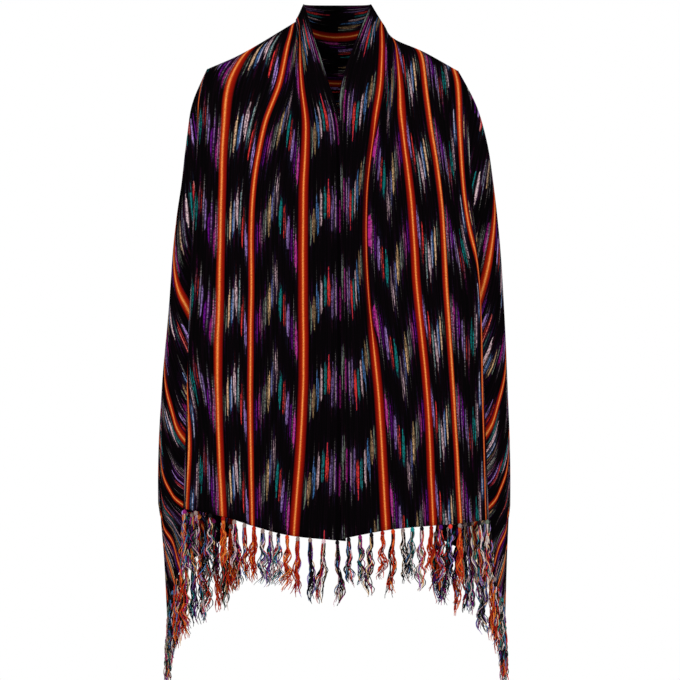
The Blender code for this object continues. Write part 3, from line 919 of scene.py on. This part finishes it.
def stepped_bands(across):
    """Number of the yarn group at a place, place inside the group, and top of its strokes.

    In each band the chevron is two straight slopes from its peak, read once per group.
    """
    number = 0.0
    top = 0.0
    before = 0
    for band in named(BAND_COLUMNS, BANDS):
        share = (across - band["start"]) / (band["stop"] - band["start"])
        inside = share.math("GREATER_THAN", 0.0) * share.math("LESS_THAN", 1.0)
        step = share * band["groups"]
        local = (step.math("FLOOR") + 0.5) / band["groups"] - band["peak"]
        outer = local * (band["drop_out"] / (1 - band["peak"]))
        inner = local * (-band["drop_in"] / band["peak"])
        number = inside * (step + before) + number
        top = inside * (band["top"] - outer.math("MAXIMUM", inner)) + top
        before += band["groups"]
    return number.math("FLOOR"), number.math("FRACT"), top


def dyed_warps(across, along, left, ribs, grain):
    """Black ground with haze, strokes and dots, thread by thread, in the repeats of the dye.

    A stroke is an arch along the warp, cut back towards the sides of its yarn group.
    """
    thread = (across / THREAD).math("FLOOR")
    slip = chance_of(thread)
    strand = chance_of(thread, STRAND_DRAW)
    tint = chance_of(thread, TINT_DRAW)
    number, part, top = stepped_bands(across)
    jitter = chance_of(number, GROUP_DRAW)
    turn = ((number + 0.5) / len(YARNS)).math("FRACT")
    yarn = ramp(turn, [(k / len(YARNS), color) for k, (_, color) in enumerate(YARNS)], step=True)
    below = top - along + left * END_SHIFT
    below = below + (slip - 0.5) * THREAD_STEP + (jitter - 0.5) * GROUP_STEP

    bell = arch((below / REPEAT).math("FRACT") * REPEAT / STROKE)
    beside = (part * 2 - 1).math("ABSOLUTE")
    cover = (bell.math("POWER", STROKE_ROUNDNESS) * STROKE_FULLNESS - beside) * STROKE_EDGE
    stroke = cover.soft() * (strand * strand * STROKE_STRENGTH) * grain
    vivid = mix((PURPLE_UNDER - tint) * PURPLE_GAIN, yarn, (*DEEP_PURPLE, 1))
    vivid = mix((tint - PALE_OVER) * PALE_GAIN, vivid, (*PALE_THREAD, 1))

    ground = mix(strand * strand * TINT_STRENGTH, (*GROUND, 1), (*GROUND_TINT, 1))
    around = (below + (HAZE - STROKE) / 2) / REPEAT
    long_bell = arch(around.math("FRACT") * (REPEAT / HAZE))
    hazy = long_bell * (tint * HAZE_GAIN - HAZE_LEAST).clip() * grain * HAZE_STRENGTH
    dim = mix(hazy, ground, ramp(strand, HAZE_TONES))
    spotted = ((slip - DOTS_OVER) * DOTS_GAIN).clip() * (ribs * DOT_ON_RIB).clip()
    dots = long_bell.soft() * spotted * grain * DOT_STRENGTH
    return mix(dots, mix(stroke, dim, vivid), (*DOT_TONE, 1))


def stripe_cover(across, left):
    """How far a place is covered by a stripe, and its distance from the stripe's core."""
    covered = None
    nearest = None
    for stripe in named(STRIPE_COLUMNS, STRIPES):
        wide = left * (stripe["left"] - stripe["right"]) + stripe["right"]
        far = (across - stripe["middle"]).math("ABSOLUTE")
        here = ((wide - far) / STRIPE_EDGE).clip()
        core = (across - (stripe["middle"] + stripe["core"])).math("ABSOLUTE") / stripe["glow"]
        covered = here if covered is None else covered.math("MAXIMUM", here)
        nearest = core if nearest is None else nearest.math("MINIMUM", core)
    return covered, nearest


def striped(place, nearest, grain):
    """Tone of a stripe by its distance from the core, with dark red specks over it."""
    stops = [(far / STRIPE_REACH, color) for far, color in STRIPE_TONES]
    warp = ramp((nearest / STRIPE_REACH).clip(), stops)
    speckle = clouds(place, SPECKLE_SCALE, 0.0)
    dark = (speckle - SPECKLE_OVER) * SPECKLE_GAIN + (STITCH_UNDER - grain) * STITCH_GAIN
    return mix(dark, warp, (*DARK_RED, 1))


def cloth_material():
    """Dyed warps with warp stripes over them, shaded and raised by the weft's ribs."""
    material = bpy.data.materials.new("rebozo_cloth")
    material.use_nodes = True
    tree = material.node_tree
    shader = tree.nodes["Principled BSDF"]
    made = tree.nodes.new("ShaderNodeUVMap")
    made.uv_map = WEAVE_MAP
    place = Sum(tree, made.outputs[0])
    apart = place.node("ShaderNodeSeparateXYZ", None, {0: place}).socket.node
    wander = (clouds(place, WANDER_SCALE, 1.0) - 0.5) * WANDER
    across = Sum(tree, apart.outputs[0]) * MM_PER_METRE + wander
    along = Sum(tree, apart.outputs[1]) * MM_PER_METRE
    left = ((along - TIP_TO_FRINGED_END) / (CLOTH_LENGTH - 2 * TIP_TO_FRINGED_END)).soft()

    ribs = (along * (2 * math.pi / WEFT_PITCH)).math("SINE")
    stitch = {0: (across / THREAD).math("FLOOR"), 1: (along / WEFT_PITCH).math("FLOOR")}
    cell = place.node("ShaderNodeCombineXYZ", None, stitch)
    bead = place.node("ShaderNodeTexWhiteNoise", {"noise_dimensions": "2D"}, {"Vector": cell})
    grain = bead * GRAIN + GRAIN_LEAST
    covered, nearest = stripe_cover(across, left)
    dyed = dyed_warps(across, along, left, ribs, grain)
    color = mix(covered, dyed, striped(place, nearest, grain))
    color = mix((ribs + 1) * RIB_SHADE, color, (*GROUND, 1))

    height = ribs * RIB_RELIEF + (clouds(place, RIPPLE_SCALE, 3.0) - 0.5) * RIPPLE_RELIEF
    relief = {"Strength": RELIEF_STRENGTH, "Distance": RELIEF_METRES, "Height": height}
    bump = height.node("ShaderNodeBump", None, relief)
    tree.links.new(color.socket, shader.inputs["Base Color"])
    tree.links.new(bump.socket, shader.inputs["Normal"])
    shader.inputs["Roughness"].default_value = MATT
    shader.inputs["Specular IOR Level"].default_value = 0.0
    return material


def hem_point(half, across):
    """Point, outward normal and sideways direction at places along the fringed hem."""
    angle = np.degrees(np.arctan2(across - TIP_FROM_EDGE, TIP_TO_FRINGED_END))
    u = np.where(across < TIP_FROM_EDGE, across / TIP_FROM_EDGE, 1 + angle / 90)
    level = np.ones_like(u)
    normal = cloth_normal(half, u, level)
    point = cloth_point(half, u, level) + normal * crease_height(half, u, level)[:, None]
    after = cloth_point(half, np.clip(u + NORMAL_STEP, 0, 3), level)
    beside = after - cloth_point(half, u - NORMAL_STEP, level)
    beside[:, 2] = 0
    beside /= np.linalg.norm(beside, axis=1, keepdims=True)
    normal[:, 2] = 0
    normal /= np.linalg.norm(normal, axis=1, keepdims=True)
    return point, normal, beside


# Fringe yarns: tones under a stripe and how far past it they are found, then the shares of
# black and pale yarns and of pale knots elsewhere.
STRIPE_YARNS = (tone(214, 66, 18), tone(160, 24, 8), tone(240, 128, 50), tone(190, 40, 14))
STRIPE_YARNS_PAST = 3
BLACK_SHARE = 0.43
PALE_SHARE = 0.09
PALE_YARN = tone(232, 214, 206)
YARN_BRIGHTNESS = (0.6, 1.15)
PALE_KNOTS = 0.3
KNOT_TONE = tone(150, 128, 122)


def yarn_tone(across, chance):
    """Colour of one fringe yarn, from the warps that it grows out of."""
    for stripe in named(STRIPE_COLUMNS, STRIPES):
        reach = max(stripe["right"], stripe["left"]) + STRIPE_YARNS_PAST
        if abs(across - stripe["middle"]) < reach:
            return STRIPE_YARNS[chance.integers(len(STRIPE_YARNS))]
    pick = chance.random()
    if pick < BLACK_SHARE:
        return GROUND_TINT
    if pick > 1 - PALE_SHARE:
        return PALE_YARN
    color = np.array(YARNS[chance.integers(len(YARNS))][1])
    return tuple(color * chance.uniform(*YARN_BRIGHTNESS))


def tube(path, radius, sides):
    """Corners of a tube along a path of points, with its rings level across the path."""
    turn = np.arange(sides) * 2 * np.pi / sides
    ring = np.stack([np.cos(turn), np.sin(turn), 0 * turn], axis=-1)
    return path[:, None, :] + ring[None] * np.asarray(radius)[:, None, None]


def tube_faces(rings, sides, first):
    """Faces of a tube: each side quad between two rings."""
    keys = first + np.arange(rings * sides).reshape(rings, sides)
    after = np.roll(keys, -1, axis=1)
    return np.stack([keys[:-1], keys[1:], after[1:], after[:-1]], axis=-1).reshape(-1, 4)


# Tassels: pitch along the hem and full length in mm, then the shares of that length that
# they have in front and at the side.
TASSEL_PITCH = 17.5
TASSEL_LENGTH = 104.0
FRONT_TASSEL = (0.6, 0.92)
SIDE_TASSEL = (0.78, 0.98)
# A knot starts just over the hem, with its yarns' upper ends inside it.
KNOT_RISE = 1.0
KNOT_LENGTH = 9.0
KNOT_RADIUS = 2.9
KNOT_ENDS = 0.5
KNOT_BELLY = 0.7
KNOT_RINGS = 7
KNOT_SIDES = 7
YARN_START = 6.0
TASSEL_YARNS = 17
YARN_RINGS = 19
YARN_SIDES = 3
YARN_RADIUS = 1.05
YARN_TIP = 0.5
YARN_TAPER = 12
# Ranges for each tassel: sideways wave in mm, its waves over the length, and its lean.
ANY_PHASE = (0, 6.3)
SWAY = (1.5, 5.5)
WAVES = (1.2, 2.6)
LEAN = (-0.07, 0.07)
# Ranges for each yarn: share of the tassel's length, radians and size of its crimp, then
# how crimp and wave set in and how far yarns spread at the knot and at the end.
YARN_SHARE = (0.8, 1.06)
CRIMP_TURN = (12, 22)
CRIMP_SIZE = (1.2, 3.2)
CRIMP_OUT = 2.0
CRIMP_START = 5
CRIMP_RISE = 0.4
WAVE_RISE = 0.6
WAVE_LAG = 0.9
SPREAD = (2.4, 3.4)
SPREAD_OUT = (1.8, 2.6)
FRINGE_SEED = 1000
SEED_STEP = 10


def crimp(chance, level):
    """Phase of one yarn's own crimp at each level, in radians."""
    return chance.uniform(*ANY_PHASE) + level * chance.uniform(*CRIMP_TURN)


def yarn_path(chance, level, tassel):
    """One yarn below its knot: a bundle wave, its own crimp and a slow spread, sideways and out."""
    shift = chance.uniform(-1, 1)
    own = tassel["length"] * chance.uniform(*YARN_SHARE)
    start = np.clip(level * CRIMP_START, 0, 1)
    phase = tassel["phase"] + tassel["waves"] * 2 * np.pi * level + WAVE_LAG * shift
    wave = np.sin(phase) * tassel["sway"]
    curl = np.sin(crimp(chance, level)) * chance.uniform(*CRIMP_SIZE)
    side = (wave * level**WAVE_RISE + curl * level**CRIMP_RISE) * start
    side = side + shift * (SPREAD[0] + SPREAD[1] * level) + tassel["lean"] * own * level
    turn = np.cos(crimp(chance, level)) * CRIMP_OUT * start
    out = chance.uniform(-1, 1) * (SPREAD_OUT[0] + SPREAD_OUT[1] * level) + turn
    return side, out, own * level


def build_fringe(name, half, start, stop, shares):
    """Tassels along one run of the hem: a knot and its crinkled yarns, as one joined mesh."""
    chance = np.random.default_rng(int(FRINGE_SEED + SEED_STEP * start) + half)
    count = int((stop - start) // TASSEL_PITCH)
    first = start + (stop - start - (count - 1) * TASSEL_PITCH) / 2
    places = first + TASSEL_PITCH * np.arange(count)
    corners = []
    faces = []
    tones = []

    def add(rings, color):
        """Puts one tube and its colour at the end of the joined mesh."""
        size = rings.shape[1]
        faces.append(tube_faces(len(rings), size, sum(len(part) for part in corners)))
        corners.append(rings.reshape(-1, 3))
        tones.append(np.tile((*color, 1.0), (rings.shape[0] * size, 1)))

    down = np.array([0.0, 0.0, -1.0])
    level = np.linspace(0, 1, YARN_RINGS)
    radius = YARN_RADIUS * np.clip((1 - level) * YARN_TAPER, YARN_TIP, 1)
    rounds = np.linspace(0, 1, KNOT_RINGS)
    belly = KNOT_ENDS + KNOT_RADIUS * np.sin(np.pi * rounds) ** KNOT_BELLY
    for place, point, normal, beside in zip(places, *hem_point(half, places)):
        centre = point - normal
        body = centre + down * (rounds[:, None] * KNOT_LENGTH - KNOT_RISE)
        knot = KNOT_TONE if chance.random() < PALE_KNOTS else yarn_tone(place, chance)
        add(tube(body, belly, KNOT_SIDES), knot)
        tassel = {
            "sway": chance.uniform(*SWAY),
            "phase": chance.uniform(*ANY_PHASE),
            "waves": chance.uniform(*WAVES),
            "length": TASSEL_LENGTH * chance.uniform(*shares),
            "lean": chance.uniform(*LEAN),
        }
        for _ in range(TASSEL_YARNS):
            side, out, drop = yarn_path(chance, level, tassel)
            path = centre + down * (YARN_START + drop)[:, None]
            path = path + beside * side[:, None] + normal * out[:, None]
            color = yarn_tone(place + chance.uniform(-1, 1) * TASSEL_PITCH / 2, chance)
            add(tube(path, radius, YARN_SIDES), color)
    item = new_mesh(name, np.concatenate(corners), np.concatenate(faces))
    colors = item.data.color_attributes.new("yarn", "FLOAT_COLOR", "POINT")
    colors.data.foreach_set("color", np.concatenate(tones).ravel())
    return item


TWIST_SCALE = 700.0
TWIST_OVER = 0.3
TWIST_GAIN = 0.9
YARN_GLOSS = 0.08


def yarn_material():
    """Each yarn's own colour, with a fine twist."""
    material = bpy.data.materials.new("rebozo_yarn")
    material.use_nodes = True
    tree = material.node_tree
    shader = tree.nodes["Principled BSDF"]
    made = tree.nodes.new("ShaderNodeVertexColor")
    made.layer_name = "yarn"
    color = Sum(tree, made.outputs[0])
    spot = tree.nodes.new("ShaderNodeTexCoord")
    twist = clouds(Sum(tree, spot.outputs["Object"]), TWIST_SCALE, 2.0)
    shade = mix((twist - TWIST_OVER) * TWIST_GAIN, color, (*GROUND, 1))
    tree.links.new(shade.socket, shader.inputs["Base Color"])
    shader.inputs["Roughness"].default_value = MATT
    shader.inputs["Specular IOR Level"].default_value = YARN_GLOSS
    return material


# Soft square lamps in metres and watts, and the camera: how far off it stands, the height
# of its picture at the front of the cloth, and its place.
LAMP_COLUMNS = ("name", "place", "size", "power")
LAMPS = (
    ("key", (-1.6, -2.6, 0.9), 1.6, 30),
    ("fill", (2.0, -2.4, 0.1), 1.8, 14),
)
LAMP_TARGET = (0, 0, -0.5)
CAMERA_AWAY = 7.0
PICTURE_HEIGHT = 1.0608
SENSOR = 36.0
CAMERA_X = 0.003
CAMERA_Z = -0.5335
FRONT_Y = -0.1
# The floor in mm, its tone and its roughness.
FLOOR_HALF = 1500.0
FLOOR_Z = -1400.0
FLOOR_TONE = (0.8, 0.8, 0.8, 1)
FLOOR_ROUGH = 0.9


def area_light(name, place, size, power):
    """Soft square lamp that looks from its place to the middle of the shawl."""
    lamp = bpy.data.lights.new(name, "AREA")
    lamp.size = size
    lamp.energy = power
    item = bpy.data.objects.new(name, lamp)
    bpy.context.scene.collection.objects.link(item)
    item.location = place
    aim = mathutils.Vector(LAMP_TARGET) - mathutils.Vector(place)
    item.rotation_euler = aim.to_track_quat("-Z", "Y").to_euler()


def build_stage():
    """Pale floor under the hanging shawl, even soft light, and the camera straight in front."""
    sides = ((-1, -1), (1, -1), (1, 1), (-1, 1))
    corners = [(x * FLOOR_HALF, y * FLOOR_HALF, FLOOR_Z) for x, y in sides]
    floor = new_mesh("floor", corners, [(0, 1, 2, 3)])
    pale = bpy.data.materials.new("floor_pale")
    pale.use_nodes = True
    shader = pale.node_tree.nodes["Principled BSDF"]
    shader.inputs["Base Color"].default_value = FLOOR_TONE
    shader.inputs["Roughness"].default_value = FLOOR_ROUGH
    floor.data.materials.append(pale)
    world = bpy.data.worlds.new("studio")
    bpy.context.scene.world = world
    world.use_nodes = True
    sky = world.node_tree.nodes["Background"]
    sky.inputs["Color"].default_value = (1, 1, 1, 1)
    sky.inputs["Strength"].default_value = 1.0
    for lamp in named(LAMP_COLUMNS, LAMPS):
        area_light(**lamp)
    bpy.context.scene.view_settings.view_transform = "Standard"
    lens = bpy.data.cameras.new("camera")
    lens.lens = SENSOR * CAMERA_AWAY / PICTURE_HEIGHT
    lens.sensor_width = SENSOR
    camera = bpy.data.objects.new("camera", lens)
    camera.location = (CAMERA_X, FRONT_Y - CAMERA_AWAY, CAMERA_Z)
    camera.rotation_euler = (math.pi / 2, 0, 0)
    bpy.context.scene.collection.objects.link(camera)
    bpy.context.scene.camera = camera


# Each half's runs of fringe: where they start and stop along the hem, and the shares of
# the full length that their tassels have.
RUN_COLUMNS = ("part", "start", "stop", "shares")
RUNS = (
    ("front", 0.0, TIP_FROM_EDGE, FRONT_TASSEL),
    ("side", TIP_FROM_EDGE, CLOTH_WIDTH, SIDE_TASSEL),
)

cloth = build_cloth()
cloth.data.materials.append(cloth_material())
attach(cloth, "root")
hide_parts("right_front", "right_side", "right_back", "left_back", "left_side", "left_front")
yarn = yarn_material()
for side, half in (("right", -1), ("left", 1)):
    for run in named(RUN_COLUMNS, RUNS):
        part = run["part"]
        name = f"{side}_{part}_tassels"
        fringe = build_fringe(name, half, run["start"], run["stop"], run["shares"])
        fringe.data.materials.append(yarn)
        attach(fringe, "root")
        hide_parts(f"{side}_{part}_fringe")
build_stage()
